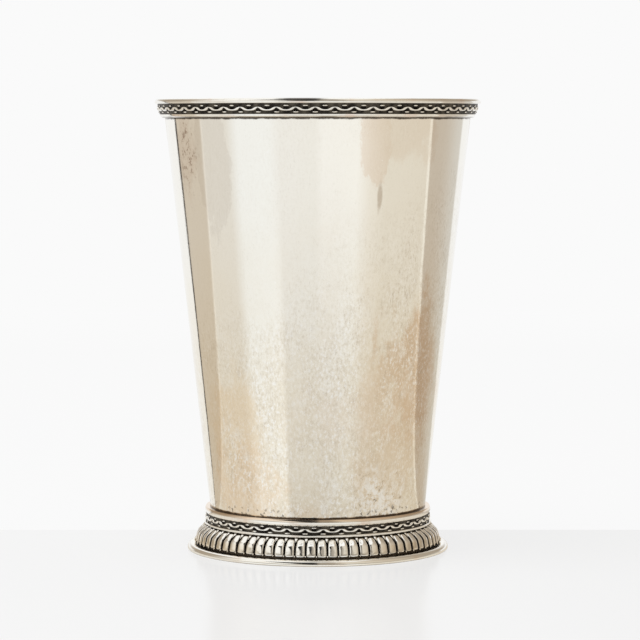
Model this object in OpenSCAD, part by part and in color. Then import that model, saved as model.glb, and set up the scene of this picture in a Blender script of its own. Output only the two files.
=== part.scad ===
// Julep cup in silver. A rolled and tapered body, closed by a bottom disc, stands on a ring foot.
// Stamped wave bands, plain wires and a border of gadroons are soldered round the rim and the foot.
// Lengths are in millimetres. The cup stands on z = 0, with its axis along z.

/* [Body] */
// Height from the table to the top of the lip
cup_h = 114.3; // [95:0.1:140]
// Outer radius of the wall at the mouth
mouth_r = 39.2; // [34:0.1:46]
// Outer radius of the wall at its lower edge
root_r = 27.3; // [24:0.1:32]
// Thickness of the wall
wall_t = 0.8; // [0.5:0.05:1.4]
// Thickness of the bottom disc
disc_t = 0.9; // [0.5:0.05:1.5]
// Gap that the solder fills between two pieces
solder_gap = 0.05; // [0.02:0.01:0.1]

/* [Rim] */
// Height of the plain lip wire
lip_h = 1.2; // [0.8:0.1:2]
// How far the lip wire stands out from the wall
lip_out = 2.1; // [1.6:0.1:3.5]
// Height of the rim's wave band
rim_band_h = 2.6; // [2.2:0.1:5]
// How far the band's ground stands out from the wall at its lower edge
rim_band_low_out = 1.2; // [0.5:0.1:2]
// How far the band's ground stands out from the wall at its upper edge
rim_band_high_out = 1.5; // [0.5:0.1:2.2]
// Length of one wave along the rim's band
rim_wave_l = 4.65; // [4:0.05:7]
// Height of the bead wire under the rim's wave band
rim_bead_h = 0.9; // [0.6:0.1:1.6]
// How far the rim's bead wire stands out from the wall
rim_bead_out = 1.1; // [0.9:0.1:2]

/* [Foot] */
// Height of the collar moulding that covers the joint of body and foot
collar_h = 1.6; // [1:0.1:2.6]
// How far the collar stands out from the wall
collar_out = 1.4; // [1.3:0.1:2.5]
// Height of the foot's wave band
foot_band_h = 2.1; // [2:0.1:4]
// How far the band's ground stands out from the foot ring
foot_band_out = 0.75; // [0.5:0.05:1.5]
// Length of one wave along the foot's band
foot_wave_l = 4.45; // [4:0.05:7]
// Height of the bead wire under the foot's wave band
foot_bead_h = 0.8; // [0.6:0.1:1.4]
// How far the foot's bead wire stands out from the foot ring
foot_bead_out = 1.3; // [1:0.1:2]
// Height of the gadroon border
border_h = 4.5; // [4.2:0.1:6]
// Height of the dark recess between the gadroons and the flange
recess_h = 0.4; // [0.2:0.1:1.6]
// How far the recess's neck stands out from the foot ring
neck_out = 2.6; // [1:0.1:3.4]
// Height of the base flange
flange_h = 1.5; // [1:0.1:3]
// Height of the flange's upright edge, below its rounding
flange_edge_h = 0.4; // [0.2:0.1:0.8]
// How far the flange stands out from the foot ring
flange_out = 5.55; // [4:0.05:8]
// Thickness of the foot ring, which carries the mouldings
ring_t = 0.8; // [0.5:0.05:1.4]
// How far the foot ring stands out past the wall that it carries
ring_step = 0.4; // [0.2:0.05:0.45]

/* [Ornament] */
// Width of one gadroon and its groove, measured at the foot ring
gadroon_w = 2.42; // [2.1:0.02:3]
// How far a gadroon's crest stands out from the foot ring
gadroon_out = 3.6; // [3:0.1:3.8]
// Height of a gadroon's widest level above its lower end
gadroon_heel = 0.5; // [0.2:0.05:0.8]
// Angle that a gadroon's crest turns inwards through above its widest level
gadroon_turn = 78; // [60:1:84]
// Least groove between two gadroons
groove_w = 0.05; // [0.02:0.01:0.2]
// Thickness of the plain land above the gadroons
land_t = 0.45; // [0.3:0.05:0.8]
// Width of the ribbon that waves along each band
ribbon_w = 0.5; // [0.3:0.05:0.6]
// How far the ribbon stands up from its ground
ribbon_relief = 0.3; // [0.15:0.05:0.5]
// Width of each sloping flank of the ribbon
ribbon_flank = 0.12; // [0.05:0.01:0.15]
// How far the ribbon swings above and below the middle of its band
ribbon_swing = 0.42; // [0.2:0.01:0.42]

/* [Hidden] */
$fn = 144;

// Stations at which the ribbon's section is set out along one wave
steps_per_wave = 8;
// Length by which a cutting shape runs past what it cuts
overrun = 1;

// Levels of the foot, from the table up
recess_z = flange_h;
border_z = recess_z + recess_h;
foot_bead_z = border_z + border_h;
foot_band_z = foot_bead_z + foot_bead_h;
collar_z = foot_band_z + foot_band_h;
body_z = collar_z + solder_gap;

// Levels of the rim, from the lip down
lip_z = cup_h - lip_h;
rim_band_z = lip_z - rim_band_h;
rim_bead_z = rim_band_z - rim_bead_h;

// Radii of the foot ring and of the backs of what is soldered round it
ring_r = root_r + ring_step;
back_r = ring_r + solder_gap;

// Gadroons that go round whole, and the radius of the round section that the foot ring leaves room for
gadroon_count = round(2 * PI * back_r / gadroon_w);
gadroon_r = back_r * sin(180 / gadroon_count) - groove_w / 2;
// A gadroon bends inwards about this level. Radii of its crest and its middle line round that bend
bend_z = border_z + gadroon_heel;
crest_r = gadroon_out - solder_gap;
bend_r = crest_r - gadroon_r;

// Outer radius of the wall at height z
function wall_r(z) = root_r + (mouth_r - root_r) * (z - body_z) / (cup_h - body_z);

// Radius of the back of a rim piece at height z
function rim_back_r(z) = wall_r(z) + solder_gap;

// Waves of length l that go round whole at radius r
function waves_round(r, l) = round(2 * PI * r / l);

// Everything on the wall's side of the solder, as a section to cut the rim and collar pieces by
module wall_side() {
    polygon([
        [0, body_z - overrun],
        [rim_back_r(body_z - overrun), body_z - overrun],
        [rim_back_r(cup_h + overrun), cup_h + overrun],
        [0, cup_h + overrun]
    ]);
}

// Half-round wire from radius r_in out to r_out, h high, standing at height z
module wire_section(r_in, r_out, z, h) {
    translate([r_in, z]) square([r_out - h / 2 - r_in, h]);
    translate([r_out - h / 2, z + h / 2]) circle(d = h);
}

// Half-round wire that is bent round the wall and meets its slope
module wall_wire(out, z, h) {
    rotate_extrude() difference() {
        wire_section(wall_r(z) - wall_t / 2, wall_r(z + h / 2) + out, z, h);
        wall_side();
    }
}

// Section of a wave band at angle a, from its back round its face. in_r, out_r are its radii at
// the lower and upper edges. The ribbon keeps its width across its own slope.
function band_section(a, in_r, out_r, z, h, waves) =
    let (
        middle = h / 2 + ribbon_swing * sin(waves * a),
        slope = ribbon_swing * waves * cos(waves * a) / out_r[0],
        half = ribbon_w / 2 * sqrt(1 + slope * slope),
        levels = [0, middle - half - ribbon_flank, middle - half,
                  middle + half, middle + half + ribbon_flank, h],
        relief = [0, 0, ribbon_relief, ribbon_relief, 0, 0],
        face = [for (i = [0:len(levels) - 1])
            [out_r[0] + (out_r[1] - out_r[0]) * levels[i] / h + relief[i], z + levels[i]]]
    )
    concat([[in_r[0], z]], face, [[in_r[1], z + h]]);

// Stamped strip with a ribbon that waves along it, as one loft of its sections round the cup
module wave_band(in_r, out_r, z, h, wave_l) {
    waves = waves_round(out_r[0], wave_l);
    stations = waves * steps_per_wave;
    sections = [for (i = [0:stations - 1])
        let (a = 360 * i / stations, section = band_section(a, in_r, out_r, z, h, waves))
        [for (p = section) [p[0] * cos(a), p[0] * sin(a), p[1]]]];
    sides = len(sections[0]);
    points = [for (section = sections) each section];
    faces = [for (i = [0:stations - 1], j = [0:sides - 1])
        let (
            here = i * sides,
            next = (i + 1) % stations * sides,
            up = (j + 1) % sides
        )
        each [[here + j, here + up, next + up], [here + j, next + up, next + j]]];
    polyhedron(points = points, faces = faces, convexity = 4);
}

// Tapered wall, rolled from sheet and seamed, with its lip edge rounded
module body_wall() {
    edge_z = cup_h - wall_t / 2;
    color([0.80, 0.77, 0.72]) rotate_extrude() {
        polygon([
            [wall_r(body_z) - wall_t, body_z],
            [wall_r(body_z), body_z],
            [wall_r(edge_z), edge_z],
            [wall_r(edge_z) - wall_t, edge_z]
        ]);
        translate([wall_r(edge_z) - wall_t / 2, edge_z]) circle(d = wall_t);
    }
}

// Disc let into the wall's lower end
module bottom_disc() {
    edge = wall_t + solder_gap;
    color([0.74, 0.71, 0.66]) translate([0, 0, body_z])
        cylinder(h = disc_t, r1 = wall_r(body_z) - edge, r2 = wall_r(body_z + disc_t) - edge);
}

// Plain half-round wire round the mouth
module rim_lip() {
    color([0.84, 0.82, 0.78]) wall_wire(lip_out, lip_z, lip_h);
}

// Stamped strip with the wave, between the lip and the bead
module rim_wave_band() {
    top_z = lip_z - solder_gap;
    color([0.36, 0.34, 0.31]) wave_band(
        in_r = [rim_back_r(rim_band_z), rim_back_r(top_z)],
        out_r = [wall_r(rim_band_z) + rim_band_low_out, wall_r(top_z) + rim_band_high_out],
        z = rim_band_z, h = top_z - rim_band_z, wave_l = rim_wave_l);
}

// Fine half-round wire under the rim's wave band
module rim_bead() {
    color([0.84, 0.82, 0.78]) wall_wire(rim_bead_out, rim_bead_z, rim_bead_h - solder_gap);
}

// Half-round moulding over the joint of wall and foot ring
module foot_collar() {
    color([0.82, 0.78, 0.71]) wall_wire(collar_out, body_z, collar_h - solder_gap);
}

// Stamped strip with the wave, round the upper part of the foot ring
module foot_wave_band() {
    color([0.36, 0.34, 0.31]) wave_band(
        in_r = [back_r, back_r],
        out_r = [ring_r + foot_band_out, ring_r + foot_band_out],
        z = foot_band_z, h = foot_band_h - solder_gap, wave_l = foot_wave_l);
}

// Fine half-round wire between the wave band and the gadroons
module foot_bead() {
    color([0.84, 0.82, 0.78]) rotate_extrude()
        wire_section(back_r, ring_r + foot_bead_out, foot_bead_z, foot_bead_h - solder_gap);
}

// One round lobe, whose crest swells from the border's lower edge and then turns inwards
module gadroon() {
    dip = asin(gadroon_heel / crest_r);
    translate([back_r, 0, bend_z]) rotate([90, 0, 0]) rotate([0, 0, -dip])
        rotate_extrude(angle = gadroon_turn + dip) translate([bend_r, 0]) circle(r = gadroon_r);
}

// Ring of gadroons on a rounded core, with a plain land above them
module gadroon_border() {
    color([0.80, 0.78, 0.74]) {
        rotate_extrude() {
            intersection() {
                translate([back_r, bend_z]) circle(r = bend_r);
                translate([back_r, bend_z]) square(bend_r);
            }
            translate([back_r, border_z]) square([bend_r, gadroon_heel]);
            translate([back_r, border_z]) square([land_t, border_h - solder_gap]);
        }
        for (i = [0:gadroon_count - 1])
            rotate([0, 0, 360 * i / gadroon_count]) gadroon();
    }
}

// Plain upright ring that carries the body and the foot's mouldings
module foot_ring() {
    low_z = flange_h + solder_gap;
    color([0.70, 0.67, 0.62]) rotate_extrude()
        translate([ring_r - ring_t, low_z]) square([ring_t, collar_z - low_z]);
}

// Base flange that the cup stands on, with a neck that keeps the gadroons clear of it
module base_flange() {
    round_r = flange_h - flange_edge_h;
    in_r = ring_r - ring_t;
    out_r = ring_r + flange_out;
    color([0.78, 0.75, 0.70]) rotate_extrude() {
        translate([in_r, 0]) square([out_r - in_r, flange_edge_h]);
        translate([in_r, 0]) square([out_r - round_r - in_r, flange_h]);
        intersection() {
            translate([out_r - round_r, flange_edge_h]) circle(r = round_r);
            translate([out_r - round_r, 0]) square([round_r, flange_h]);
        }
        translate([back_r, 0]) square([neck_out - solder_gap, border_z - solder_gap]);
    }
}

body_wall();
bottom_disc();
rim_lip();
rim_wave_band();
rim_bead();
foot_collar();
foot_wave_band();
foot_bead();
gadroon_border();
foot_ring();
base_flange();
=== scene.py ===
import math

import bmesh
import bpy
from mathutils import Matrix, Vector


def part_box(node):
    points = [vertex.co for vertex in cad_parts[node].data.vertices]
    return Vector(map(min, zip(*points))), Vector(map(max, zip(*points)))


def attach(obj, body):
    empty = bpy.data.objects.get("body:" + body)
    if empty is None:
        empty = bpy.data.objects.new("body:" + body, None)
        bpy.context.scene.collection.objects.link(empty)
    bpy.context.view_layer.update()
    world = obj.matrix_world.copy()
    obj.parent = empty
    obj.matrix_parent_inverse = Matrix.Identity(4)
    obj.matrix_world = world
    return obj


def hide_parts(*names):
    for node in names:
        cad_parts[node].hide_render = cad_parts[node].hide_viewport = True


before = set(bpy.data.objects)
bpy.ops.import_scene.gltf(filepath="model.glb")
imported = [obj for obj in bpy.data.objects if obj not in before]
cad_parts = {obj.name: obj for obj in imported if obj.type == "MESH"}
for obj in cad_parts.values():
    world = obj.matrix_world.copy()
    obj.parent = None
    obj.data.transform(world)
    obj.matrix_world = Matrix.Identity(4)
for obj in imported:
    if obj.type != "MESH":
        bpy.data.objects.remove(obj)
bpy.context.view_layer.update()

# Camera. It looks at the cup from the front, a little below the rim's level, through a long lens.
# Its place, tilt and lens come from fitting the rim, the collar and the base to the photograph.
MM = 0.001
camera_tilt = 3.985
camera_place = (0.585, -717.3, 108.2)
camera_data = bpy.data.cameras.new("photo_camera")
camera_data.sensor_width = 36
camera_data.lens = 158.74
camera = bpy.data.objects.new("photo_camera", camera_data)
camera.location = tuple(part * MM for part in camera_place)
camera.rotation_euler = (math.radians(90 - camera_tilt), 0, 0)
bpy.context.collection.objects.link(camera)
bpy.context.scene.camera = camera

# Body wall. Sterling sheet, rolled to a plain cone and seamed, then planished and polished. Years of
# handling have left fine upright scratches, and a warm tarnish that is strongest low down.
round_steps = 288
edge_steps = 8
wall_root_r = 27.3
wall_mouth_r = 39.2
wall_t = 0.8
weld = 0.0005
sharp_angle = math.radians(38)
fine_bump = 0.003
patch_sink = 0.25


def millimetres(node):
    """Lowest and highest corner of a CAD node, in millimetres."""
    return [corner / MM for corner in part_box(node)]


def make_piece(name, bm, material):
    """Welds and smooths a mesh modelled in millimetres, and makes it an object in metres."""
    bmesh.ops.remove_doubles(bm, verts=bm.verts, dist=weld)
    bmesh.ops.recalc_face_normals(bm, faces=bm.faces)
    bmesh.ops.scale(bm, vec=(MM, MM, MM), verts=bm.verts)
    for face in bm.faces:
        face.smooth = True
    for edge in bm.edges:
        edge.smooth = edge.calc_face_angle(0) < sharp_angle
    mesh = bpy.data.meshes.new(name)
    bm.to_mesh(mesh)
    bm.free()
    mesh.materials.append(material)
    piece = bpy.data.objects.new(name, mesh)
    bpy.context.collection.objects.link(piece)
    return piece


def outline(bm, points):
    """Closed section through points of radius and height, in the plane that is spun round the cup."""
    verts = [bm.verts.new((r, 0, z)) for r, z in points]
    for one, other in zip(verts, verts[1:] + verts[:1]):
        bm.edges.new((one, other))
    return verts


def spin_round(bm):
    """Spins the section round the cup's axis and welds its start to its end."""
    bmesh.ops.spin(
        bm, geom=bm.verts[:] + bm.edges[:], cent=(0, 0, 0), axis=(0, 0, 1),
        angle=math.tau, steps=round_steps, use_merge=True,
    )


def add(tree, kind, inputs=None, **settings):
    """Adds a node, its inputs set to values or joined to other nodes' outputs."""
    made = tree.nodes.new(kind)
    for name, value in settings.items():
        setattr(made, name, value)
    for name, value in (inputs or {}).items():
        if isinstance(value, bpy.types.NodeSocket):
            tree.links.new(value, made.inputs[name])
        else:
            made.inputs[name].default_value = value
    return made


def noise(tree, place, scale, stretch=(1, 1, 1), detail=4, roughness=0.55):
    """Noise of the given scale in metres to the minus one, drawn out along any axis."""
    mapping = add(tree, "ShaderNodeMapping", {"Vector": place, "Scale": stretch})
    made = add(
        tree, "ShaderNodeTexNoise",
        {"Vector": mapping.outputs[0], "Scale": scale, "Detail": detail, "Roughness": roughness},
    )
    return made.outputs["Fac"]


def between(tree, value, low, high, to_low=0.0, to_high=1.0):
    """A smooth step from to_low to to_high as value goes from low to high."""
    made = add(
        tree, "ShaderNodeMapRange",
        {"Value": value, "From Min": low, "From Max": high, "To Min": to_low, "To Max": to_high},
        interpolation_type="SMOOTHSTEP",
    )
    return made.outputs["Result"]


def mixed(tree, factor, one, other, blend="MIX"):
    """The colour one, turned into other by factor."""
    made = add(tree, "ShaderNodeMix", data_type="RGBA", blend_type=blend)
    for socket, value in zip((made.inputs[0], made.inputs[6], made.inputs[7]), (factor, one, other)):
        if isinstance(value, bpy.types.NodeSocket):
            tree.links.new(value, socket)
        else:
            socket.default_value = (*value, 1) if isinstance(value, tuple) else value
    return made.outputs[2]


def maths(tree, operation, *values):
    """One Math node."""
    made = add(tree, "ShaderNodeMath", operation=operation)
    for socket, value in zip(made.inputs, values):
        if isinstance(value, bpy.types.NodeSocket):
            tree.links.new(value, socket)
        else:
            socket.default_value = value
    return made.outputs[0]


def coordinate(tree, place, axis):
    """One coordinate of a place."""
    return add(tree, "ShaderNodeSeparateXYZ", {"Vector": place}).outputs[axis]


def group(name, inputs, outputs):
    """A new shader node group, with its input and output nodes."""
    tree = bpy.data.node_groups.new(name, "ShaderNodeTree")
    for label, kind in inputs:
        tree.interface.new_socket(label, in_out="INPUT", socket_type=kind)
    for label, kind in outputs:
        tree.interface.new_socket(label, in_out="OUTPUT", socket_type=kind)
    return tree, tree.nodes.new("NodeGroupInput"), tree.nodes.new("NodeGroupOutput")


# The patch group gives a ragged spot: full at its centre and gone at its reach along each axis. Broad
# swirls and fine feathers move its edge in and out.
feather_share = 0.35
patch_tree, patch_in, patch_out = group(
    "tarnish_patch",
    [("Place", "NodeSocketVector"), ("Centre", "NodeSocketVector"),
     ("Reach", "NodeSocketVector"), ("Ragged", "NodeSocketFloat"), ("Edge", "NodeSocketFloat")],
    [("Mask", "NodeSocketFloat")],
)
offset = add(
    patch_tree, "ShaderNodeVectorMath",
    {0: patch_in.outputs["Place"], 1: patch_in.outputs["Centre"]}, operation="SUBTRACT",
)
share = add(
    patch_tree, "ShaderNodeVectorMath",
    {0: offset.outputs[0], 1: patch_in.outputs["Reach"]}, operation="DIVIDE",
)
distance = add(patch_tree, "ShaderNodeVectorMath", {0: share.outputs[0]}, operation="LENGTH")
swirls = noise(patch_tree, patch_in.outputs["Place"], 110, (1, 1, 0.6), 7, 0.62)
feathers = noise(patch_tree, patch_in.outputs["Place"], 620, (1, 1, 0.5), 5, 0.7)
unevenness = maths(
    patch_tree, "MULTIPLY_ADD", feathers, feather_share,
    maths(patch_tree, "SUBTRACT", swirls, 0.5 + feather_share / 2),
)
ragged = maths(patch_tree, "MULTIPLY", unevenness, patch_in.outputs["Ragged"])
patch_tree.links.new(
    between(
        patch_tree, maths(patch_tree, "ADD", distance.outputs["Value"], ragged), 1,
        maths(patch_tree, "SUBTRACT", 1, patch_in.outputs["Edge"]),
    ),
    patch_out.inputs["Mask"],
)

# The wear group gives the marks that all the silver has: upright hairlines, specks and a soft haze.
wear_tree, wear_in, wear_out = group(
    "silver_wear",
    [("Place", "NodeSocketVector"), ("Haze", "NodeSocketFloat"), ("Depth", "NodeSocketFloat")],
    [("Roughness", "NodeSocketFloat"), ("Height", "NodeSocketFloat"), ("Marks", "NodeSocketFloat")],
)
hairlines = noise(wear_tree, wear_in.outputs["Place"], 2200, (1, 1, 0.12), 3, 0.6)
specks = noise(wear_tree, wear_in.outputs["Place"], 1300, (1, 1, 0.7), 6, 0.75)
clouds = noise(wear_tree, wear_in.outputs["Place"], 120, (1, 1, 0.6), 4, 0.6)
marks = maths(
    wear_tree, "MULTIPLY",
    between(wear_tree, hairlines, 0.40, 0.72),
    between(wear_tree, specks, 0.40, 0.66),
)
roughness = maths(
    wear_tree, "ADD",
    maths(wear_tree, "MULTIPLY", marks, 0.12),
    maths(wear_tree, "MULTIPLY", between(wear_tree, clouds, 0.3, 0.75, 0.5, 1.5), wear_in.outputs["Haze"]),
)
height = maths(
    wear_tree, "MULTIPLY",
    maths(wear_tree, "ADD", hairlines, specks),
    wear_in.outputs["Depth"],
)
wear_tree.links.new(roughness, wear_out.inputs["Roughness"])
wear_tree.links.new(height, wear_out.inputs["Height"])
wear_tree.links.new(marks, wear_out.inputs["Marks"])


def placed(tree, made_group, inputs):
    """Places a node group in a tree, with its inputs set or joined."""
    made = tree.nodes.new("ShaderNodeGroup")
    made.node_tree = made_group
    for name, value in inputs.items():
        if isinstance(value, bpy.types.NodeSocket):
            tree.links.new(value, made.inputs[name])
        else:
            made.inputs[name].default_value = value
    return made


def new_metal(name):
    """A node material with a metallic shader, and the object's own coordinates."""
    material = bpy.data.materials.new(name)
    material.use_nodes = True
    tree = material.node_tree
    shader = tree.nodes["Principled BSDF"]
    shader.inputs["Metallic"].default_value = 1
    place = add(tree, "ShaderNodeTexCoord").outputs["Object"]
    return material, tree, shader, place


def finish_metal(tree, shader, colour, roughness, height, depth):
    """Joins the colour, the roughness and a bump, depth millimetres deep, to the metal's shader."""
    tree.links.new(colour, shader.inputs["Base Color"])
    tree.links.new(roughness, shader.inputs["Roughness"])
    bump = add(tree, "ShaderNodeBump", {"Height": height, "Distance": depth * MM})
    tree.links.new(bump.outputs["Normal"], shader.inputs["Normal"])


def patch(tree, place, azimuth, radius, z, reach, ragged, edge):
    """Mask of a ragged spot on the cup, at an angle to the right of the camera's side."""
    turn = math.radians(azimuth)
    spot = placed(tree, patch_tree, {
        "Place": place,
        "Centre": (radius * math.sin(turn) * MM, -radius * math.cos(turn) * MM, z * MM),
        "Reach": tuple(length * MM for length in reach), "Ragged": ragged, "Edge": edge,
    })
    return spot.outputs["Mask"]


low, high = millimetres("body_wall")
wall_low_z = low.z
wall_high_z = high.z
wall_slope = (wall_mouth_r - wall_root_r) / (wall_high_z - wall_low_z)


def wall_r(z):
    """Outer radius of the wall at height z, in millimetres."""
    return wall_root_r + wall_slope * (z - wall_low_z)


# The wall's silver. Tarnish warms it low down and in patches, which are each given by their angle,
# height, reach, raggedness, softness of edge, tone and strength. Two more patches are speckled, and
# fine grain shows low down.
silver = (0.965, 0.945, 0.885)
rubbed_silver = (1.0, 0.99, 0.96)
warm_silver = (0.90, 0.83, 0.69)
mark_tone = (0.50, 0.42, 0.33)
fleck_tone = (0.12, 0.10, 0.08)
corner_shade_and_dirt_tone = (0.06, 0.045, 0.035)
inner_glow = (0.50, 0.48, 0.44)
warm_none_z, warm_full_z = 92, 30
grain_none_z, grain_full_z = 82, 58
fleck_none_z, fleck_full_z = 14, 12
fleck_none_x, fleck_full_x = 4, 9
outside_none_depth, outside_full_depth = 0.44, 0.24
last_bounce = 3.5
wall_silver, tree, shader, place = new_metal("wall_silver")
wear = placed(tree, wear_tree, {"Place": place, "Haze": 0.055, "Depth": 1.0})
heights = coordinate(tree, place, "Z")
drift = maths(tree, "SUBTRACT", noise(tree, place, 45, (1, 1, 0.7), 5), 0.5)
warm_height = maths(tree, "ADD", heights, maths(tree, "MULTIPLY", drift, 0.06))
low_warmth = between(tree, warm_height, warm_none_z * MM, warm_full_z * MM)
colour = mixed(tree, maths(tree, "MULTIPLY", low_warmth, 0.9), silver, warm_silver)
for azimuth, z, reach, ragged, edge, tone, strength in (
    (0, 14, (40, 40, 10), 1.4, 0.9, (0.80, 0.72, 0.58), 0.50),
    (-2, 11, (12, 12, 5.5), 1.5, 0.8, (0.78, 0.66, 0.50), 0.75),
    (-42, 30, (11, 11, 24), 2.0, 0.7, (0.90, 0.74, 0.53), 0.60),
    (-39, 18, (13, 13, 12), 2.2, 0.6, (0.90, 0.74, 0.55), 0.85),
    (50, 45, (14, 14, 24), 2.2, 0.6, (0.75, 0.57, 0.40), 0.85),
    (30, 41, (11, 11, 13), 2.4, 0.6, (0.84, 0.70, 0.54), 0.60),
    (8, 36, (12, 12, 16), 2.2, 0.8, (0.88, 0.77, 0.65), 0.40),
    (39, 22, (14, 14, 11), 2.2, 0.6, (0.84, 0.73, 0.58), 0.85),
    (22, 104, (4.2, 4.2, 12), 1.5, 0.12, (0.88, 0.79, 0.69), 0.80),
    (33, 108, (12, 12, 11), 1.6, 0.4, (0.88, 0.80, 0.70), 0.65),
    (24.4, 91, (0.9, 0.9, 6), 1.4, 0.5, (0.55, 0.47, 0.38), 0.70),
    (-44, 98, (6.5, 6.5, 22), 1.6, 0.12, (0.88, 0.85, 0.79), 0.85),
    (-60, 100, (6, 6, 13), 3.0, 0.6, (0.74, 0.62, 0.52), 0.35),
):
    spot = patch(tree, place, azimuth, wall_r(z) - patch_sink, z, reach, ragged, edge)
    colour = mixed(tree, maths(tree, "MULTIPLY", spot, strength), colour, tone)
to_right = coordinate(tree, place, "X")
crust = noise(tree, place, 620, (1, 1, 1), 4, 0.75)
for azimuth, z, reach, specks in (
    (33, 13, (13, 13, 10), ((0.45, 0.55, 1.0, (1.0, 1.0, 0.98)), (0.42, 0.34, 0.9, (0.16, 0.13, 0.10)))),
    (-58, 99, (6, 6, 15), ((0.47, 0.38, 0.8, (0.36, 0.26, 0.20)), (0.56, 0.62, 0.5, (1.0, 0.97, 0.92)))),
):
    spot = patch(tree, place, azimuth, wall_r(z) - patch_sink, z, reach, ragged=3.0, edge=0.9)
    for start, full, strength, tone in specks:
        share = maths(tree, "MULTIPLY", between(tree, crust, start, full, 0.0, strength), spot)
        colour = mixed(tree, share, colour, tone)
worn_height = maths(
    tree, "SUBTRACT", maths(tree, "ADD", heights, maths(tree, "MULTIPLY", drift, 0.03)),
    maths(tree, "MULTIPLY", to_right, 0.6),
)
grain_share = maths(
    tree, "MULTIPLY", between(tree, worn_height, grain_none_z * MM, grain_full_z * MM, 0.16, 1.0),
    between(tree, noise(tree, place, 100, (1, 1, 0.6), 3), 0.34, 0.64, 0.45, 1.25),
)
mottle = noise(tree, place, 300, (1, 1, 0.7), 8, 0.72)
grain = noise(tree, place, 1700, (1, 1, 0.6), 3, 0.75)
for pattern, start, full, strength, tone in (
    (mottle, 0.42, 0.70, 0.22, (0.66, 0.58, 0.47)), (mottle, 0.52, 0.34, 0.50, silver),
    (grain, 0.50, 0.30, 0.40, (0.60, 0.53, 0.43)), (grain, 0.50, 0.66, 0.75, rubbed_silver),
):
    share = maths(tree, "MULTIPLY", between(tree, pattern, start, full, 0.0, strength), grain_share)
    colour = mixed(tree, share, colour, tone)
colour = mixed(
    tree, maths(tree, "MULTIPLY", wear.outputs["Marks"], maths(tree, "MULTIPLY", grain_share, 0.35)),
    colour, mark_tone,
)
warp = add(
    tree, "ShaderNodeTexNoise", {"Vector": place, "Scale": 210, "Detail": 2, "Distortion": 1.5},
).outputs["Fac"]
scratch = between(tree, maths(tree, "ABSOLUTE", maths(tree, "SUBTRACT", warp, 0.5)), 0.006, 0.0)
scratch = maths(tree, "MULTIPLY", scratch, between(tree, mottle, 0.50, 0.58))
colour = mixed(tree, maths(tree, "MULTIPLY", scratch, 0.6), colour, rubbed_silver)
ragged = maths(tree, "SUBTRACT", noise(tree, place, 420, (1, 1, 1), 5, 0.7), 0.5)
flat_place = add(tree, "ShaderNodeVectorMath", {0: place, 1: (1, 1, 0)}, operation="MULTIPLY")
from_axis = add(
    tree, "ShaderNodeVectorMath", {0: flat_place.outputs[0]}, operation="LENGTH",
).outputs["Value"]
face_r = maths(tree, "SUBTRACT", from_axis, maths(tree, "MULTIPLY", heights, wall_slope))
outside = between(
    tree, face_r, (wall_r(0) - outside_none_depth) * MM, (wall_r(0) - outside_full_depth) * MM,
)

# The corners at both ends are painted dark: painted shade under the bead and above the collar, with some
# dirt. Each gives where the wall is bare, where it is dark, and how far the edge wanders.
for bare_z, dark_z, swing in ((11.5, 11.1, 1.2), (109.12, 109.42, 0.9)):
    ragged_height = maths(tree, "ADD", heights, maths(tree, "MULTIPLY", ragged, swing * MM))
    shade_and_dirt = between(tree, ragged_height, bare_z * MM, dark_z * MM)
    shade_and_dirt = maths(tree, "MULTIPLY", shade_and_dirt, maths(tree, "MULTIPLY", outside, 0.95))
    colour = mixed(tree, shade_and_dirt, colour, corner_shade_and_dirt_tone)
flecks = maths(
    tree, "MULTIPLY", between(tree, noise(tree, place, 1000, (1, 1, 1), 2), 0.58, 0.66),
    maths(
        tree, "MULTIPLY", between(tree, heights, fleck_none_z * MM, fleck_full_z * MM, 0.0, 0.7), outside,
    ),
)
off_centre = maths(tree, "ABSOLUTE", to_right)
sides = between(tree, off_centre, fleck_none_x * MM, fleck_full_x * MM, 0.25, 1.0)
colour = mixed(tree, maths(tree, "MULTIPLY", flecks, sides), colour, fleck_tone)
planishing = noise(tree, place, 38, (1, 1, 0.6), 2)
relief = maths(
    tree, "ADD",
    maths(tree, "MULTIPLY", planishing, 14.0),
    maths(tree, "MULTIPLY", wear.outputs["Height"], maths(tree, "MULTIPLY", grain_share, 1.6)),
)
finish_metal(tree, shader, colour, wear.outputs["Roughness"], relief, fine_bump)

# Light that has bounced between the inner walls too often for the renderer is a faint glow.
ray_depth = add(tree, "ShaderNodeLightPath").outputs["Ray Depth"]
echoes = between(tree, ray_depth, last_bounce - 0.1, last_bounce + 0.1)
shader.inputs["Emission Strength"].default_value = 1
tree.links.new(mixed(tree, echoes, (0, 0, 0), inner_glow), shader.inputs["Emission Color"])

edge_r = wall_t / 2
edge_z = wall_high_z - edge_r
plain_z = edge_z - wall_t
bm = bmesh.new()
section = outline(bm, [
    (wall_r(edge_z) - wall_t, edge_z),
    (wall_r(plain_z) - wall_t, plain_z),
    (wall_r(wall_low_z) - wall_t, wall_low_z),
    (wall_r(wall_low_z), wall_low_z),
    (wall_r(plain_z), plain_z),
    (wall_r(edge_z), edge_z),
])
bm.edges.remove(bm.edges.get((section[-1], section[0])))
bmesh.ops.spin(
    bm, geom=[section[-1]], cent=(wall_r(edge_z) - edge_r, 0, edge_z), axis=(0, -1, 0),
    angle=math.pi, steps=edge_steps,
)
bmesh.ops.remove_doubles(bm, verts=bm.verts, dist=weld)
spin_round(bm)
body_wall = make_piece("body_wall", bm, wall_silver)
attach(body_wall, "root")
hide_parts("body_wall")

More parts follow.
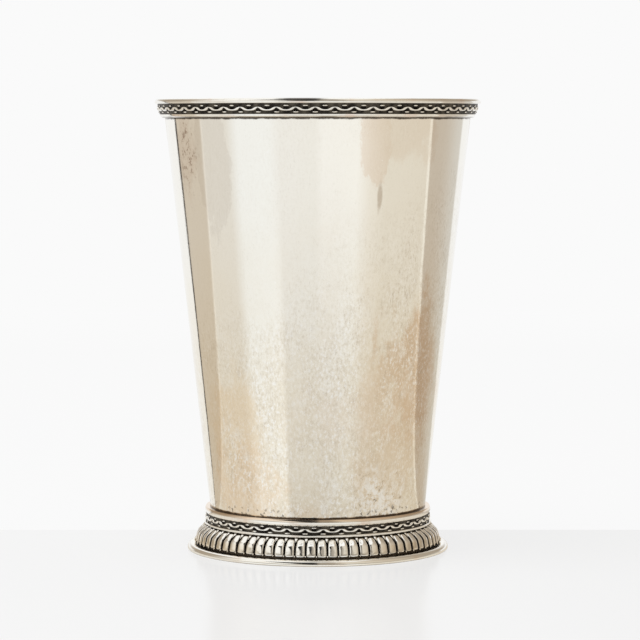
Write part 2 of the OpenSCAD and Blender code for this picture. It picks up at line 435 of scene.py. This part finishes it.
# Bottom disc. A plain disc of the same sheet, let into the wall's lower end and soldered round.
# Its upper side is the cup's floor, and its underside shows inside the foot.
inside_tarnish = (0.84, 0.77, 0.66)
inside_silver, tree, shader, place = new_metal("inside_silver")
wear = placed(tree, wear_tree, {"Place": place, "Haze": 0.20, "Depth": 0.8})
cloudy = between(tree, noise(tree, place, 110, (1, 1, 1), 5), 0.35, 0.7)
colour = mixed(tree, cloudy, silver, inside_tarnish)
colour = mixed(tree, maths(tree, "MULTIPLY", wear.outputs["Marks"], 0.3), colour, mark_tone)
finish_metal(tree, shader, colour, wear.outputs["Roughness"], wear.outputs["Height"], fine_bump)

low, high = millimetres("bottom_disc")
bm = bmesh.new()
bmesh.ops.create_circle(bm, cap_ends=True, segments=round_steps, radius=high.x)
bmesh.ops.translate(bm, vec=(0, 0, low.z), verts=bm.verts)
top = bmesh.ops.extrude_face_region(bm, geom=bm.faces[:])["geom"]
bmesh.ops.translate(
    bm, vec=(0, 0, high.z - low.z), verts=[v for v in top if isinstance(v, bmesh.types.BMVert)],
)
bottom_disc = make_piece("bottom_disc", bm, inside_silver)
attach(bottom_disc, "root")
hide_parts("bottom_disc")

# Rim lip. A plain half-round wire, soldered round the outside of the mouth and filed flush on top.
# It is the brightest part of the cup, because hands and cloths rub it most.
solder_gap = 0.05
wire_steps = 12
copper_tone = (0.90, 0.76, 0.66)
collar_stain = (0.82, 0.63, 0.45)
lip_shade_tone = (0.10, 0.09, 0.08)
underside_shade_and_dirt_tone = (0.10, 0.08, 0.06)
bright_silver, tree, shader, place = new_metal("bright_silver")
wear = placed(tree, wear_tree, {"Place": place, "Haze": 0.10, "Depth": 0.8})
stain = noise(tree, place, 150, (1, 1, 1), 5, 0.6)
colour = mixed(tree, between(tree, stain, 0.50, 0.72, 0.0, 0.8), silver, copper_tone)
heights = coordinate(tree, place, "Z")

# The foot collar is stained on its upper side. Both beads are painted dark where they meet what is below:
# painted shade on their undersides, with some dirt.
stained = maths(
    tree, "MULTIPLY",
    between(tree, heights, 10.1 * MM, 10.7 * MM), between(tree, heights, 12 * MM, 11.5 * MM),
)
colour = mixed(tree, maths(tree, "MULTIPLY", stained, 0.85), colour, collar_stain)
wavering = maths(tree, "MULTIPLY_ADD", stain, 0.5 * MM, heights)
for low_z, bare_z, dark_z in ((100, 110.15, 109.95), (0, 6.98, 6.80)):
    corner = maths(
        tree, "MULTIPLY", between(tree, wavering, bare_z * MM, dark_z * MM),
        between(tree, heights, low_z * MM, (low_z + 5) * MM),
    )
    colour = mixed(tree, corner, colour, underside_shade_and_dirt_tone)

# One dark line of painted shade lies on the lip, a little left of the middle of the front.
lip_shade_line = patch(
    tree, place, azimuth=-6, radius=40.6, z=114.0, reach=(7.5, 3, 0.6), ragged=0.6, edge=0.6,
)
colour = mixed(tree, maths(tree, "MULTIPLY", lip_shade_line, 0.9), colour, lip_shade_tone)
colour = mixed(tree, maths(tree, "MULTIPLY", wear.outputs["Marks"], 0.3), colour, mark_tone)
finish_metal(tree, shader, colour, wear.outputs["Roughness"], wear.outputs["Height"], fine_bump)


def wire(node, back_low_r, back_high_r, material, under, over):
    """Wire round the cup, flat behind, where it is soldered, and round in front, where its face turns
    from under degrees below level to over degrees above."""
    low, high = millimetres(node)
    under, over = math.radians(under), math.radians(over)
    round_r = (high.z - low.z) / (math.sin(under) + math.sin(over))
    centre = (high.x - round_r, 0, low.z + round_r * math.sin(under))
    bm = bmesh.new()
    corners = outline(bm, [
        (centre[0] + round_r * math.cos(over), high.z), (back_high_r, high.z), (back_low_r, low.z),
        (centre[0] + round_r * math.cos(under), low.z),
    ])
    bm.edges.remove(bm.edges.get((corners[3], corners[0])))
    bmesh.ops.spin(
        bm, geom=[corners[3]], cent=centre, axis=(0, -1, 0), angle=under + over, steps=wire_steps,
    )
    bmesh.ops.remove_doubles(bm, verts=bm.verts, dist=weld)
    spin_round(bm)
    return make_piece(node, bm, material)


low, high = millimetres("rim_lip")
rim_lip = wire(
    "rim_lip", wall_r(low.z) + solder_gap, wall_r(high.z) + solder_gap, bright_silver, under=38, over=85,
)
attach(rim_lip, "root")
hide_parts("rim_lip")

# Rim wave band. A stamped strip between the lip and the bead: a ribbon waves along it, with a bud in
# each of its hollows. The ground is oxidised nearly black, and the relief is polished through.
rim_waves = 54
rim_ground_r = (39.97, 40.56)
ribbon_relief = 0.32
ribbon_sink = 0.08
crest_pinch = 0.45
crest_half_w = 0.145
trough_extra_w = 0.035
flank_extra_w = 0.21
ribbon_power = 5
bud_relief_share = 0.85
pit_float = 0.012
grime_bump = 0.015
sulphide_tones = ((0.022, 0.019, 0.017), (0.11, 0.097, 0.078))
pit_tone = (0.012, 0.010, 0.009)


def own_relief(tree):
    """What the mesh says of each vertex: one on bare relief, nought in the ground and where shade is
    painted, less in a pit.
    """
    return add(tree, "ShaderNodeAttribute", attribute_name="relief").outputs["Fac"]


def made_uneven(tree, value, grime):
    """The value, moved up or down by the grime, by a quarter at most."""
    swing = maths(tree, "MULTIPLY", maths(tree, "SUBTRACT", grime, 0.5), 0.5)
    return maths(tree, "ADD", value, swing)


def dulled(tree, bare, wear, most):
    """Roughness of the wear, with up to most added where the metal isn't bare."""
    dull = maths(tree, "MULTIPLY", maths(tree, "SUBTRACT", 1.0, bare), most)
    return maths(tree, "ADD", dull, wear.outputs["Roughness"])


oxidised, tree, shader, place = new_metal("oxidised_band")
worn = own_relief(tree)
grime = noise(tree, place, 900, (1, 1, 1), 4, 0.6)
wear = placed(tree, wear_tree, {"Place": place, "Haze": 0.10, "Depth": 1.0})
bare = between(tree, made_uneven(tree, worn, grime), 0.22, 0.55)
sulphide = between(tree, noise(tree, place, 500, (1, 1, 1), 3), 0.35, 0.7)
soot = mixed(tree, sulphide, *sulphide_tones)
soot = mixed(tree, between(tree, worn, -0.2, -0.8), soot, pit_tone)
colour = mixed(tree, bare, soot, silver)
finish_metal(tree, shader, colour, dulled(tree, bare, wear, 0.30), grime, grime_bump)


def repeat_round(bm, verts_before, copies):
    """Repeats what was made after the first verts_before vertices evenly round the cup."""
    verts = bm.verts[:][verts_before:]
    kept = set(verts)
    edges = [edge for edge in bm.edges if edge.verts[0] in kept]
    faces = [face for face in bm.faces if face.verts[0] in kept]
    bmesh.ops.spin(
        bm, geom=verts + edges + faces, cent=(0, 0, 0), axis=(0, 0, 1),
        angle=math.tau * (copies - 1) / copies, steps=copies - 1, use_duplicate=True,
    )


def wave_band(node, waves, ground_r, back_r, first, ribbon, buds, pits):
    """Strip with its ribbon. ground_r and back_r are radii at its lower and upper edge, first is the
    angle of the first crest, and ribbon is its height across the strip and its swing. A bud or pit is its
    share of the wave's length, its height across the strip, its half width and its half height."""
    low, high = millimetres(node)
    middle_r = sum(ground_r) / 2
    middle_z = (low.z + high.z) / 2
    lean = (ground_r[1] - ground_r[0]) / (high.z - low.z)
    length = math.tau * middle_r / waves
    bm = bmesh.new()
    outline(bm, [
        (back_r[0], low.z), (ground_r[0], low.z), (ground_r[1], high.z), (back_r[1], high.z),
    ])
    spin_round(bm)
    relief = bm.verts.layers.float.new("relief")
    ground_verts = len(bm.verts)

    # One wave is laid flat, with x along the strip, y out of it and z across it.
    ribbon_z, wave_swing = ribbon
    for vert in bmesh.ops.create_grid(bm, x_segments=26, y_segments=8, size=1)["verts"]:
        turn = math.pi * (vert.co.x + 1)
        side = vert.co.y
        pinched = turn + crest_pinch * math.sin(turn)
        slope = (
            -wave_swing * math.sin(pinched) * (1 + crest_pinch * math.cos(turn)) * math.tau / length
        )
        half_w = crest_half_w + trough_extra_w * (1 - math.cos(turn))
        half_w += flank_extra_w * math.sin(pinched) ** 2
        size = math.hypot(1, slope)
        vert.co = (
            length * turn / math.tau - side * half_w * slope / size,
            ribbon_relief * (1 - abs(side) ** ribbon_power * (1 + ribbon_sink / ribbon_relief)),
            ribbon_z + wave_swing * math.cos(pinched) + side * half_w / size,
        )
    for along, across, half_w, half_h in buds:
        bud = bmesh.ops.create_uvsphere(bm, u_segments=14, v_segments=8, radius=1)["verts"]
        bmesh.ops.scale(bm, vec=(half_w, ribbon_relief * bud_relief_share, half_h), verts=bud)
        bmesh.ops.translate(bm, vec=(length * along, 0, across), verts=bud)
    for vert in bm.verts[:][ground_verts:]:
        vert[relief] = min(1, max(0, vert.co.y / ribbon_relief))
    for along, across, half_w, half_h in pits:
        pit = bmesh.ops.create_circle(bm, cap_ends=True, segments=12, radius=1)["verts"]
        for vert in pit:
            vert[relief] = -1
            vert.co = (length * along + half_w * vert.co.x, pit_float, across + half_h * vert.co.y)

    # The flat wave is bent round the leaning ground, and repeated.
    for vert in bm.verts[:][ground_verts:]:
        along, out, across = vert.co
        radius = middle_r + lean * across + out
        angle = math.radians(first) + along / middle_r
        vert.co = (radius * math.cos(angle), radius * math.sin(angle), middle_z + across)
    repeat_round(bm, ground_verts, waves)
    return make_piece(node, bm, oxidised)


low, high = millimetres("rim_wave_band")
rim_back_r = (wall_r(low.z) + solder_gap, wall_r(high.z) + solder_gap)
rim_wave_band = wave_band(
    "rim_wave_band", rim_waves, rim_ground_r, rim_back_r, first=2.57, ribbon=(0.0, 0.34),
    buds=((0.5, 0.72, 0.70, 0.20), (0, -0.80, 0.74, 0.19)),
    pits=((0.5, 0.24, 0.72, 0.38), (0, -0.38, 0.60, 0.30)),
)
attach(rim_wave_band, "root")
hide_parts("rim_wave_band")

# Rim bead. A fine half-round wire that covers the lower edge of the wave band.
# The corner where it meets the wall is painted dark, in the wall's colour and its own: painted shade, with
# dirt and polish.
low, high = millimetres("rim_bead")
rim_bead = wire(
    "rim_bead", wall_r(low.z) + solder_gap, wall_r(high.z) + solder_gap, bright_silver, under=70, over=3,
)
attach(rim_bead, "root")
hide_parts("rim_bead")

# Foot collar. A half-round moulding over the joint between the body and the foot.
# Its upper side is stained brown, where polish has been left in the corner.
low, high = millimetres("foot_collar")
foot_collar = wire(
    "foot_collar", wall_r(low.z) + solder_gap, wall_r(high.z) + solder_gap, bright_silver,
    under=38, over=38,
)
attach(foot_collar, "root")
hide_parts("foot_collar")

# Foot wave band. The same kind of stamped strip as at the rim, but upright and with fewer waves.
# It is soldered round the foot ring, under the collar.
foot_waves = 40
foot_ground_r = 28.45
foot_back_r = 27.75
foot_wave_band = wave_band(
    "foot_wave_band", foot_waves, (foot_ground_r, foot_ground_r), (foot_back_r, foot_back_r),
    first=2.8, ribbon=(0.05, 0.32),
    buds=((0.5, 0.64, 0.64, 0.19), (0, -0.80, 0.74, 0.22)),
    pits=((0.5, 0.22, 0.66, 0.36), (0, -0.36, 0.54, 0.36)),
)
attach(foot_wave_band, "root")
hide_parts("foot_wave_band")

# Foot bead. A fine half-round wire between the wave band and the gadroons.
# It is soldered to the foot ring like the others.
foot_bead = wire("foot_bead", foot_back_r, foot_back_r, bright_silver, under=75, over=25)
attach(foot_bead, "root")
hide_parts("foot_bead")

# Gadroon border. A heavy stamped border of upright lobes that swell outwards to the base, with a small
# dart between each two at the top and a tiny ball at the bottom. The grooves are oxidised.
gadroons = 72
lobe_foot_r = 31.3
lobe_steps = 24
core_steps = 12
lobe_depth = 0.95
lobe_side_drop = 0.12
lobe_width_share = 0.89
lobe_taper_share = 0.05
lobe_end_share = 0.3
foot_shade_and_grime_share = 0.18
top_shade_and_grime_share = 0.14
first_gadroon = 2.0
foot_lean = 9
steady_lean = 12
bend_lean = 31
bend_start_share = 0.36
bend_share = 0.26
side_none_x, side_full_x = 8, 24
highlight_z, stain_full_z = 4.6, 3.8
dent_depth = 0.23
groove_tone = (0.045, 0.037, 0.03)
lobe_tones = ((1.0, 0.99, 0.95), (0.82, 0.70, 0.52))

# The lobes' silver. Those to the left and right are more stained and less worn than those in front.
gadroon_silver, tree, shader, place = new_metal("gadroon_silver")
uneven = made_uneven(tree, own_relief(tree), noise(tree, place, 700, (1, 1, 1), 4, 0.6))
wear = placed(tree, wear_tree, {"Place": place, "Haze": 0.10, "Depth": 1.0})
off_centre = maths(tree, "ABSOLUTE", coordinate(tree, place, "X"))
sides = between(tree, off_centre, side_none_x * MM, side_full_x * MM, -0.05, 0.60)
bare = between(tree, maths(tree, "SUBTRACT", uneven, maths(tree, "MULTIPLY", sides, 0.45)), 0.20, 0.54)
stain = maths(
    tree, "MULTIPLY_ADD", noise(tree, place, 260, (1, 1, 1), 4), 0.9, maths(tree, "SUBTRACT", sides, 0.35),
)
# The stain thins on the lobes' upper parts, so they are painted lighter where their highlight falls: a
# painted highlight, over real stain lower down.
stain_below_highlight = between(
    tree, coordinate(tree, place, "Z"), highlight_z * MM, stain_full_z * MM, 0.25, 1.0,
)
polish = mixed(tree, maths(tree, "MULTIPLY", stain, stain_below_highlight), *lobe_tones)
colour = mixed(tree, bare, groove_tone, polish)
dents = noise(tree, place, 300, (1, 1, 1), 2)
finish_metal(tree, shader, colour, dulled(tree, bare, wear, 0.30), dents, dent_depth)

low, high = millimetres("gadroon_border")


def crest_turn(t):
    """Slope of a gadroon's crest in radians, from foot to top: nearly upright, then leaning in."""
    bend = min(1, max(0, (t - bend_start_share) / bend_share))
    return math.radians(foot_lean + steady_lean * t + bend_lean * bend * bend * (3 - 2 * bend))


turns = [crest_turn((step + 0.5) / lobe_steps) for step in range(lobe_steps)]
crest_step = (high.z - low.z) / sum(math.cos(turn) for turn in turns)


def crest_point(t):
    """Radius and height on the crest of a gadroon, and the direction out of it, from foot to top."""
    place = t * lobe_steps
    whole = min(lobe_steps - 1, int(place))
    done = turns[:whole] + [turns[whole]]
    runs = [crest_step] * whole + [crest_step * (place - whole)]
    r = lobe_foot_r - sum(run * math.sin(turn) for run, turn in zip(runs, done))
    z = low.z + sum(run * math.cos(turn) for run, turn in zip(runs, done))
    turn = crest_turn(t)
    return r, z, math.cos(turn), math.sin(turn)


def rounded(value, power):
    """Height of a rounded hump that is one in the middle and none at one and minus one."""
    return max(0, 1 - abs(value) ** power) ** (1 / power)


bm = bmesh.new()
core_face = []
for step in range(core_steps + 1):
    r, z, out_r, out_z = crest_point(step / core_steps)
    core_face.append((r - lobe_depth * out_r, max(low.z, z - lobe_depth * out_z)))
outline(bm, [(foot_back_r, low.z)] + core_face + [
    (max(core_face[-1][0], foot_back_r + weld), high.z), (foot_back_r, high.z),
])
spin_round(bm)
relief = bm.verts.layers.float.new("relief")
core_verts = len(bm.verts)
bmesh.ops.create_grid(bm, x_segments=12, y_segments=lobe_steps, size=1)
for vert in bm.verts[:][core_verts:]:
    across = math.sin(vert.co.x * math.pi / 2)
    along = math.sin(vert.co.y * math.pi / 2)
    r, z, out_r, out_z = crest_point((1 + along) / 2)
    half_w = math.pi * r / gadroons * (lobe_width_share - lobe_taper_share * along)
    half_w *= max(lobe_end_share, rounded(along, 8 if along > 0 else 14))
    hump = rounded(across, 4) * rounded(along, 12)
    # The lobes' ends are darkened: painted shade at their feet and tops, with some grime.
    away_from_ends = min(1, (1 + along) / foot_shade_and_grime_share, (1 - along) / top_shade_and_grime_share)
    vert[relief] = (1 - abs(across) ** 4) * rounded(along, 8) * away_from_ends
    drop = lobe_depth * (1 - hump) + lobe_side_drop * across * across
    vert.co = (r - drop * out_r, half_w * across, max(low.z, z - drop * out_z))
repeat_round(bm, core_verts, gadroons)

# The darts and balls sit between the lobes, half a lobe round from them. Each kind has its share of
# the way up, half thickness, half width, half height, lean and depth in the groove.
dart_relief = 0.95
dart_verts = len(bm.verts)
for t, thick, half_w, half_h, lean, sink in (
    (0.89, 0.30, 0.66, 0.66, 0.9, 0.10), (0.03, 0.28, 0.34, 0.25, 0, -0.05),
):
    r, z, out_r, out_z = crest_point(t)
    dart = bmesh.ops.create_icosphere(bm, subdivisions=2, radius=1)["verts"]
    for vert in dart:
        side = vert.co.y * (0.5 + 0.5 * vert.co.z) * half_w
        vert.co = (vert.co.x * thick - lean * half_h * vert.co.z, side, vert.co.z * half_h)
    bmesh.ops.translate(bm, vec=(r - sink * out_r, 0, max(low.z + half_h, z - sink * out_z)), verts=dart)
darts = bm.verts[:][dart_verts:]
for vert in darts:
    vert[relief] = dart_relief
bmesh.ops.rotate(
    bm, cent=(0, 0, 0), matrix=Matrix.Rotation(math.pi / gadroons, 3, "Z"), verts=darts,
)
repeat_round(bm, dart_verts, gadroons)
bmesh.ops.rotate(
    bm, cent=(0, 0, 0), matrix=Matrix.Rotation(math.radians(first_gadroon), 3, "Z"), verts=bm.verts,
)
gadroon_border = make_piece("gadroon_border", bm, gadroon_silver)
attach(gadroon_border, "root")
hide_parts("gadroon_border")

# Foot ring. A plain strip bent to a ring and soldered under the body. It carries all the mouldings of
# the foot, which hide it from outside; its inside shows when the cup is turned over.
ring_r = 27.7
ring_t = 0.8
low, high = millimetres("foot_ring")
bm = bmesh.new()
outline(bm, [(ring_r - ring_t, low.z), (ring_r, low.z), (ring_r, high.z), (ring_r - ring_t, high.z)])
spin_round(bm)
foot_ring = make_piece("foot_ring", bm, inside_silver)
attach(foot_ring, "root")
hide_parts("foot_ring")

# Base flange. A flat ring with a rounded upper edge, which the cup stands on. Its neck holds the gadroons
# clear of it. The recess between them and the top beside it are painted dark: painted shade, with old
# polish. The foot's bevel is painted dark as a contact shadow.
flange_h = 1.5
flange_edge_h = 0.45
flange_foot_bevel = 0.24
neck_r = 30.25
dark_ring_w = 0.5
shade_and_polish_tone = (0.18, 0.145, 0.11)
flange_stain = (0.88, 0.77, 0.66)

# How bare each corner of the section is, from the top's outer edge inwards and round to the rim. Nought is
# painted shade with old polish by the neck, and a painted contact shadow at the foot's bevel.
bare_shares = (0.25, 0, 0, 0, 0, 1, 1, 1, 0, 1, 1)

flange_silver, tree, shader, place = new_metal("flange_silver")
uneven = made_uneven(tree, own_relief(tree), noise(tree, place, 500, (1, 1, 1), 4, 0.6))
wear = placed(tree, wear_tree, {"Place": place, "Haze": 0.10, "Depth": 0.8})
bare = between(tree, uneven, 0.15, 0.55)
stain = between(tree, noise(tree, place, 130, (1, 1, 1), 5), 0.5, 0.72)
colour = mixed(tree, bare, shade_and_polish_tone, mixed(tree, stain, silver, flange_stain))
finish_metal(tree, shader, colour, dulled(tree, bare, wear, 0.35), wear.outputs["Height"], fine_bump)

low, high = millimetres("base_flange")
round_r = flange_h - flange_edge_h
bm = bmesh.new()
relief = bm.verts.layers.float.new("relief")
corners = outline(bm, [
    (high.x - round_r, flange_h), (neck_r + dark_ring_w, flange_h), (neck_r, flange_h), (neck_r, high.z),
    (foot_back_r, high.z), (foot_back_r, flange_h), (ring_r - ring_t, flange_h), (ring_r - ring_t, low.z),
    (high.x - flange_foot_bevel, low.z), (high.x, low.z + flange_foot_bevel), (high.x, flange_edge_h),
])
for corner, bare_share in zip(corners, bare_shares):
    corner[relief] = bare_share
bm.edges.remove(bm.edges.get((corners[-1], corners[0])))
bmesh.ops.spin(
    bm, geom=[corners[-1]], cent=(high.x - round_r, 0, flange_edge_h), axis=(0, -1, 0),
    angle=math.pi / 2, steps=edge_steps,
)
bmesh.ops.remove_doubles(bm, verts=bm.verts, dist=weld)
spin_round(bm)
base_flange = make_piece("base_flange", bm, flange_silver)
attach(base_flange, "root")
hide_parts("base_flange")

# Floor. A pale, faintly glossy table top, with a whiter ground beyond its edge just behind the cup.
# Far from the cup it turns into the plain white that the camera sees all round.
white = (0.956, 0.956, 0.956)
near_white = (0.925, 0.925, 0.925)
table_edge_y = 0.030
table_edge_blur = 0.0006
floor_half = 6.0
bm = bmesh.new()
bmesh.ops.create_grid(bm, x_segments=1, y_segments=1, size=floor_half)
floor_mesh = bpy.data.meshes.new("floor")
bm.to_mesh(floor_mesh)
bm.free()
floor = bpy.data.objects.new("floor", floor_mesh)
bpy.context.collection.objects.link(floor)

floor_finish = bpy.data.materials.new("floor_finish")
floor_finish.use_nodes = True
tree = floor_finish.node_tree
place = add(tree, "ShaderNodeTexCoord").outputs["Object"]
depth = coordinate(tree, place, "Y")
beyond = between(tree, depth, table_edge_y - table_edge_blur, table_edge_y + table_edge_blur)
shader = tree.nodes["Principled BSDF"]
tree.links.new(mixed(tree, beyond, (0.80, 0.80, 0.80), (0.87, 0.87, 0.87)), shader.inputs["Base Color"])
shader.inputs["Roughness"].default_value = 0.16
shader.inputs["Specular IOR Level"].default_value = 0.35
distance = add(tree, "ShaderNodeVectorMath", {0: place}, operation="LENGTH").outputs["Value"]
fade = between(tree, distance, 0.03, 0.9, 0.70, 1.0)
table_tone = mixed(tree, between(tree, distance, 0.1, 0.5), near_white, white)
glow = mixed(tree, beyond, table_tone, white)
plain = add(tree, "ShaderNodeEmission", {"Color": glow})
plain_share = maths(tree, "MAXIMUM", fade, maths(tree, "MULTIPLY", beyond, 0.93))
seen_floor = add(
    tree, "ShaderNodeMixShader", {0: plain_share, 1: shader.outputs[0], 2: plain.outputs[0]},
)

# In the silver, the table itself is left to the studio's light below. Only what stands beyond its back
# edge is mirrored here: beige screens on both sides, and the white wall between them.
# The screens start where a line through a fixed place on the table has a given slope.
mirrored_white = (0.93, 0.93, 0.93)
left_start_y = 0.015
right_start_y = 0.026
dark_start_x, dark_start_y = 0.049, 0.025
least_way = 0.001
right_way = maths(tree, "MAXIMUM", coordinate(tree, place, "X"), least_way)
left_way = maths(
    tree, "MAXIMUM", maths(tree, "MULTIPLY", coordinate(tree, place, "X"), -1.0), least_way,
)
dark_way = maths(tree, "MAXIMUM", maths(tree, "SUBTRACT", left_way, dark_start_x), least_way)
left_slope, dark_slope, right_slope = (
    maths(tree, "DIVIDE", maths(tree, "SUBTRACT", depth, start_y), way)
    for start_y, way in ((left_start_y, left_way), (dark_start_y, dark_way), (right_start_y, right_way))
)
left_tone = mixed(tree, between(tree, left_slope, 0.09, 0.14), (0.86, 0.82, 0.76), (0.64, 0.57, 0.48))
left_tone = mixed(tree, between(tree, dark_slope, 0.93, 0.97), left_tone, (0.10, 0.09, 0.08))
left_tone = mixed(tree, between(tree, dark_slope, 1.05, 1.08), left_tone, mirrored_white)
right_tone = mixed(tree, between(tree, right_slope, 0.045, 0.06), (0.90, 0.86, 0.78), (0.57, 0.50, 0.42))
right_tone = mixed(tree, between(tree, right_slope, 0.2, 1.0), right_tone, (0.66, 0.63, 0.58))
right_tone = mixed(tree, between(tree, right_slope, 1.1, 1.3), right_tone, mirrored_white)
right_side = between(tree, coordinate(tree, place, "X"), -least_way, least_way)
screens = add(tree, "ShaderNodeEmission", {"Color": mixed(tree, right_side, left_tone, right_tone)})
past_edge = mixed(
    tree, right_side, between(tree, left_slope, 0.08, 0.085), between(tree, right_slope, 0.0, 0.005),
)
clear = add(tree, "ShaderNodeBsdfTransparent")
mirrored_floor = add(
    tree, "ShaderNodeMixShader", {0: past_edge, 1: clear.outputs[0], 2: screens.outputs[0]},
)
either = add(tree, "ShaderNodeMixShader", {
    0: add(tree, "ShaderNodeLightPath").outputs["Is Glossy Ray"],
    1: seen_floor.outputs[0], 2: mirrored_floor.outputs[0],
})
one_sided = add(tree, "ShaderNodeMixShader", {
    0: add(tree, "ShaderNodeNewGeometry").outputs["Backfacing"], 1: either.outputs[0], 2: clear.outputs[0],
})
tree.links.new(one_sided.outputs[0], tree.nodes["Material Output"].inputs["Surface"])
floor_mesh.materials.append(floor_finish)

# Studio. Even white light from all round, with one wide soft lamp above. What the silver mirrors is
# the same room: a white table and back wall, beige sides with soft boxes, and a white ceiling. Each
# band has an angle to the right of the camera's side, in degrees, and the tone there.
far_table_bands = (
    (-180, (0.77, 0.73, 0.66)), (-74, (0.78, 0.75, 0.70)), (-64, (0.91, 0.92, 0.92)),
    (-38, (0.92, 0.93, 0.93)), (-29, (0.88, 0.87, 0.85)), (-2, (0.88, 0.87, 0.84)),
    (4, (0.94, 0.93, 0.91)), (31, (0.94, 0.93, 0.90)), (42, (0.85, 0.81, 0.74)),
    (56, (0.78, 0.73, 0.64)), (180, (0.71, 0.64, 0.54)),
)
near_table_bands = (
    (-180, (0.77, 0.73, 0.66)), (-74, (0.80, 0.77, 0.72)), (-60, (0.93, 0.94, 0.94)),
    (-33, (0.98, 0.98, 0.97)), (-29, (0.76, 0.75, 0.73)), (10, (0.74, 0.73, 0.71)),
    (30, (0.78, 0.77, 0.74)), (44, (0.74, 0.70, 0.64)), (180, (0.71, 0.64, 0.54)),
)
room_bands = (
    (-180, mirrored_white), (-145, mirrored_white), (-140, (0.40, 0.35, 0.29)), (-112, (0.44, 0.38, 0.30)),
    (-76, (0.72, 0.68, 0.60)), (-46, (0.38, 0.35, 0.29)), (0, (0.28, 0.25, 0.21)),
    (40, (0.34, 0.30, 0.24)), (70, (0.46, 0.40, 0.32)),
    (104, (0.38, 0.33, 0.27)), (136, (0.52, 0.48, 0.43)), (141, mirrored_white), (180, mirrored_white),
)
high_room_bands = (
    (-180, mirrored_white), (-150, (0.40, 0.34, 0.27)), (-110, (0.42, 0.36, 0.29)),
    (-76, (0.96, 0.95, 0.92)), (-24, (0.92, 0.90, 0.86)), (-12, (0.42, 0.38, 0.32)),
    (14, (0.36, 0.32, 0.27)), (28, (0.72, 0.67, 0.58)), (70, (0.60, 0.52, 0.42)),
    (112, (0.40, 0.34, 0.27)), (150, (0.40, 0.34, 0.27)), (180, mirrored_white),
)
table_below_tone = (0.66, 0.61, 0.53)
soft_grey = (0.62, 0.62, 0.62)
world = bpy.data.worlds.new("studio")
bpy.context.scene.world = world
world.use_nodes = True
tree = world.node_tree
ray = add(tree, "ShaderNodeTexCoord").outputs["Generated"]
ray_parts = add(tree, "ShaderNodeSeparateXYZ", {"Vector": ray}).outputs
to_camera = maths(tree, "MULTIPLY", ray_parts["Y"], -1.0)
azimuth = maths(tree, "ARCTAN2", ray_parts["X"], to_camera)
azimuth_share = between(tree, azimuth, -math.pi, math.pi)
azimuth_share.node.interpolation_type = "LINEAR"


def bands(stops):
    """A ring of light whose colour changes with the angle from the camera's side."""
    ramp = add(tree, "ShaderNodeValToRGB", {"Fac": azimuth_share})
    elements = ramp.color_ramp.elements
    for spare, (degrees, colour) in zip((elements[0], elements[1]), (stops[0], stops[-1])):
        spare.position = (degrees + 180) / 360
        spare.color = (*colour, 1)
    for degrees, colour in stops[1:-1]:
        elements.new((degrees + 180) / 360).color = (*colour, 1)
    return ramp.outputs["Color"]


# Heights are the upward share of a ray's direction, nought at the cup's level.
height = ray_parts["Z"]
table = mixed(tree, between(tree, height, -0.22, -0.37), bands(far_table_bands), bands(near_table_bands))
room = mixed(tree, between(tree, height, 0.10, 0.22), bands(room_bands), bands(high_room_bands))
mirrored = mixed(tree, between(tree, height, -0.04, 0.02), table, room)
mirrored = mixed(tree, between(tree, height, -0.60, -0.85), mirrored, table_below_tone)
least_height = 0.05
safe_height = maths(tree, "MAXIMUM", height, least_height)
ceiling_x = maths(tree, "DIVIDE", ray_parts["X"], safe_height)
ceiling_y = maths(tree, "DIVIDE", ray_parts["Y"], safe_height)


def card(left, right, front, back, edge, tone):
    """What is mirrored, with a card hung level over the cup. Its sides are given per metre of height."""
    sides = (
        between(tree, ceiling_x, left, left + edge), between(tree, ceiling_x, right, right - edge),
        between(tree, ceiling_y, front, front + edge), between(tree, ceiling_y, back, back - edge),
    )
    cover = between(tree, height, 0.02, 0.06)
    for side in sides:
        cover = maths(tree, "MULTIPLY", cover, side)
    return mixed(tree, cover, mirrored, (tone, tone, tone))


# A white card hangs over the cup and behind it, and a dark one over the camera.
no_end = 9
mirrored = card(left=-0.95, right=0.48, front=-0.42, back=no_end, edge=0.12, tone=0.98)
mirrored = card(left=-0.9, right=0.03, front=-no_end, back=-0.48, edge=0.06, tone=0.04)
path = add(tree, "ShaderNodeLightPath").outputs
seen = mixed(tree, path["Is Glossy Ray"], soft_grey, mirrored)
seen = mixed(tree, path["Is Camera Ray"], seen, white)
tree.links.new(seen, tree.nodes["Background"].inputs["Color"])

lamp_data = bpy.data.lights.new("soft_lamp", "AREA")
lamp_data.shape = "RECTANGLE"
lamp_data.size = 1.2
lamp_data.size_y = 0.9
lamp_data.energy = 9
lamp = bpy.data.objects.new("soft_lamp", lamp_data)
lamp.location = (-0.35, -0.35, 1.1)
lamp.rotation_euler = (math.radians(-17), math.radians(-17), 0)
lamp.visible_glossy = False
bpy.context.collection.objects.link(lamp)
bpy.context.scene.view_settings.view_transform = "Standard"
